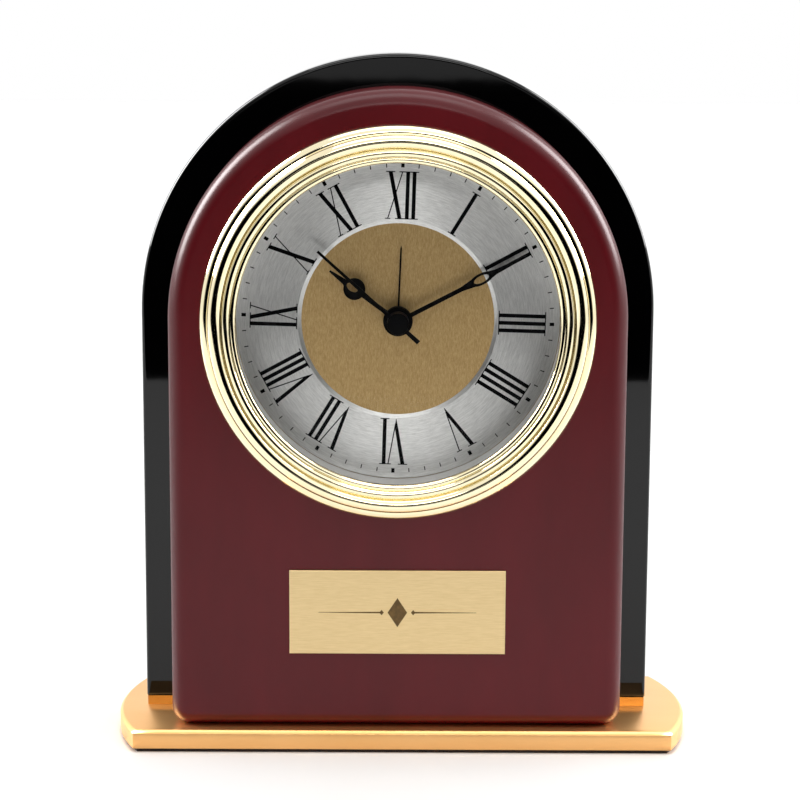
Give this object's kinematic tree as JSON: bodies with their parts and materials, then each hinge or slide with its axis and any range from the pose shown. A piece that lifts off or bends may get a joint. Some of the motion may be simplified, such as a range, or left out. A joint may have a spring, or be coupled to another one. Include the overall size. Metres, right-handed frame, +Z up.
{
  "type": "mantel clock",
  "caption": "Arch-shaped mantel clock: lacquered boards on a gold base, round quartz alarm insert with bezel, glass, dial, hands and geared movement.",
  "frame": {"origin": "middle of the bounding box, on the face it rests on", "axes": "+Z up, the dial faces -Y, +X to the right of someone facing the dial"},
  "size_m": [0.1556, 0.0542, 0.1849],
  "materials": {
    "base_gold": "satin anodised gold",
    "polished_gold": "mirror polished",
    "piano_black": "high-gloss black lacquer",
    "mahogany_lacquer": "satin mahogany lacquer",
    "brushed_gold": "horizontally brushed",
    "felt_pad": "matt",
    "adhesive": "matt film",
    "glass": "flat mineral glass",
    "silver_satin": "satin",
    "dial_silver": "circular brushed with printed hour marks",
    "dial_gold": "vertically brushed",
    "black_plastic": "moulded",
    "grey_plastic": "moulded",
    "natural_plastic": "moulded acetal",
    "black_rubber": "matt",
    "hand_black": "satin black",
    "steel": "machined",
    "brass": "machined",
    "board_green": "solder mask",
    "copper": "enamelled winding",
    "beech": "plain",
    "battery_jacket": "plain jacket"
  },
  "bodies": {
    "clock_case": {"base_plate": "base_gold", "base_pad": "felt_pad", "base_screws": "steel", "rear_plinth": "polished_gold", "rear_board": "piano_black", "front_board": "mahogany_lacquer", "board_dowels": "beech", "nameplate": "brushed_gold", "nameplate_tape": "adhesive", "bezel": "polished_gold", "lens": "glass", "lens_seal": "black_rubber", "inner_ring": "silver_satin", "dial": "dial_gold", "chapter_ring": "dial_silver", "insert_cup": "black_plastic", "grip_ring": "black_rubber", "movement_front": "black_plastic", "movement_rear": "black_plastic", "shell_screws": "steel", "middle_plate": "grey_plastic", "circuit_board": "board_green", "quartz_crystal": "steel", "coil": "copper", "stator": "steel", "buzzer": "brass", "battery_contacts": "steel"},
    "second_train": {"second_hand": "hand_black", "second_wheel": "natural_plastic"},
    "minute_arbor": {"minute_hand": "hand_black", "cannon_pinion": "brass"},
    "hour_pipe": {"hour_hand": "hand_black", "hour_wheel": "natural_plastic"},
    "alarm_pipe": {"alarm_hand": "hand_black", "alarm_wheel": "natural_plastic"},
    "rotor_shaft": {"rotor": "natural_plastic"},
    "intermediate": {"intermediate_wheel": "natural_plastic"},
    "third": {"third_wheel": "natural_plastic"},
    "centre": {"centre_wheel": "brass"},
    "minute_gear": {"minute_wheel": "natural_plastic"},
    "time_setter": {"time_knob": "black_plastic"},
    "alarm_setter": {"alarm_knob": "grey_plastic"},
    "switch": {"alarm_switch": "grey_plastic"},
    "door": {"battery_door": "black_plastic"},
    "cell": {"battery": "battery_jacket"}
  },
  "joints": [
    {"name": "second_hand_spin", "type": "hinge", "parent": "clock_case", "child": "second_train", "pos_m": [-0.0016, -0.02208, 0.1156], "axis": [0, 1, 0], "continuous": true},
    {"name": "rotor_spin", "type": "hinge", "parent": "clock_case", "child": "rotor_shaft", "pos_m": [-0.0016, -0.02208, 0.12782], "axis": [0, 1, 0], "continuous": true},
    {"name": "intermediate_spin", "type": "hinge", "parent": "clock_case", "child": "intermediate", "pos_m": [-0.00381, -0.02208, 0.12224], "axis": [0, 1, 0], "continuous": true},
    {"name": "third_spin", "type": "hinge", "parent": "clock_case", "child": "third", "pos_m": [0.00506, -0.02208, 0.12088], "axis": [0, 1, 0], "continuous": true},
    {"name": "centre_spin", "type": "hinge", "parent": "clock_case", "child": "centre", "pos_m": [-0.0016, -0.02208, 0.1156], "axis": [0, 1, 0], "continuous": true},
    {"name": "minute_hand_spin", "type": "hinge", "parent": "clock_case", "child": "minute_arbor", "pos_m": [-0.0016, -0.02208, 0.1156], "axis": [0, 1, 0], "continuous": true},
    {"name": "hour_hand_spin", "type": "hinge", "parent": "clock_case", "child": "hour_pipe", "pos_m": [-0.0016, -0.02208, 0.1156], "axis": [0, 1, 0], "continuous": true},
    {"name": "minute_gear_spin", "type": "hinge", "parent": "clock_case", "child": "minute_gear", "pos_m": [-0.00671, -0.02208, 0.11874], "axis": [0, 1, 0], "continuous": true},
    {"name": "time_knob_spin", "type": "hinge", "parent": "clock_case", "child": "time_setter", "pos_m": [-0.01318, -0.02208, 0.12067], "axis": [0, 1, 0], "continuous": true},
    {"name": "alarm_hand_spin", "type": "hinge", "parent": "clock_case", "child": "alarm_pipe", "pos_m": [-0.0016, -0.02208, 0.1156], "axis": [0, 1, 0], "continuous": true},
    {"name": "alarm_knob_spin", "type": "hinge", "parent": "clock_case", "child": "alarm_setter", "pos_m": [0.00733, -0.02208, 0.11207], "axis": [0, 1, 0], "continuous": true},
    {"name": "alarm_switch_slide", "type": "slide", "parent": "clock_case", "child": "switch", "axis": [0.9996, 0, -0.0279], "range_m": [0, 0.003]},
    {"name": "battery_door_slide", "type": "slide", "parent": "clock_case", "child": "door", "axis": [0, 1, 0], "range_m": [0, 0.03]},
    {"name": "battery_slide", "type": "slide", "parent": "clock_case", "child": "cell", "axis": [0, 1, 0], "range_m": [0, 0.018]}
  ],
  "couplings": [
    {"joint": "rotor_spin", "follows": "second_hand_spin", "ratio": 30},
    {"joint": "intermediate_spin", "follows": "second_hand_spin", "ratio": -6},
    {"joint": "third_spin", "follows": "second_hand_spin", "ratio": -0.13333},
    {"joint": "centre_spin", "follows": "second_hand_spin", "ratio": 0.016667},
    {"joint": "hour_hand_spin", "follows": "minute_hand_spin", "ratio": 0.083333},
    {"joint": "minute_gear_spin", "follows": "minute_hand_spin", "ratio": -0.33333},
    {"joint": "time_knob_spin", "follows": "minute_hand_spin", "ratio": 0.66667},
    {"joint": "alarm_knob_spin", "follows": "alarm_hand_spin", "ratio": -1},
    {"joint": "battery_slide", "follows": "battery_door_slide", "ratio": 0.6}
  ]
}
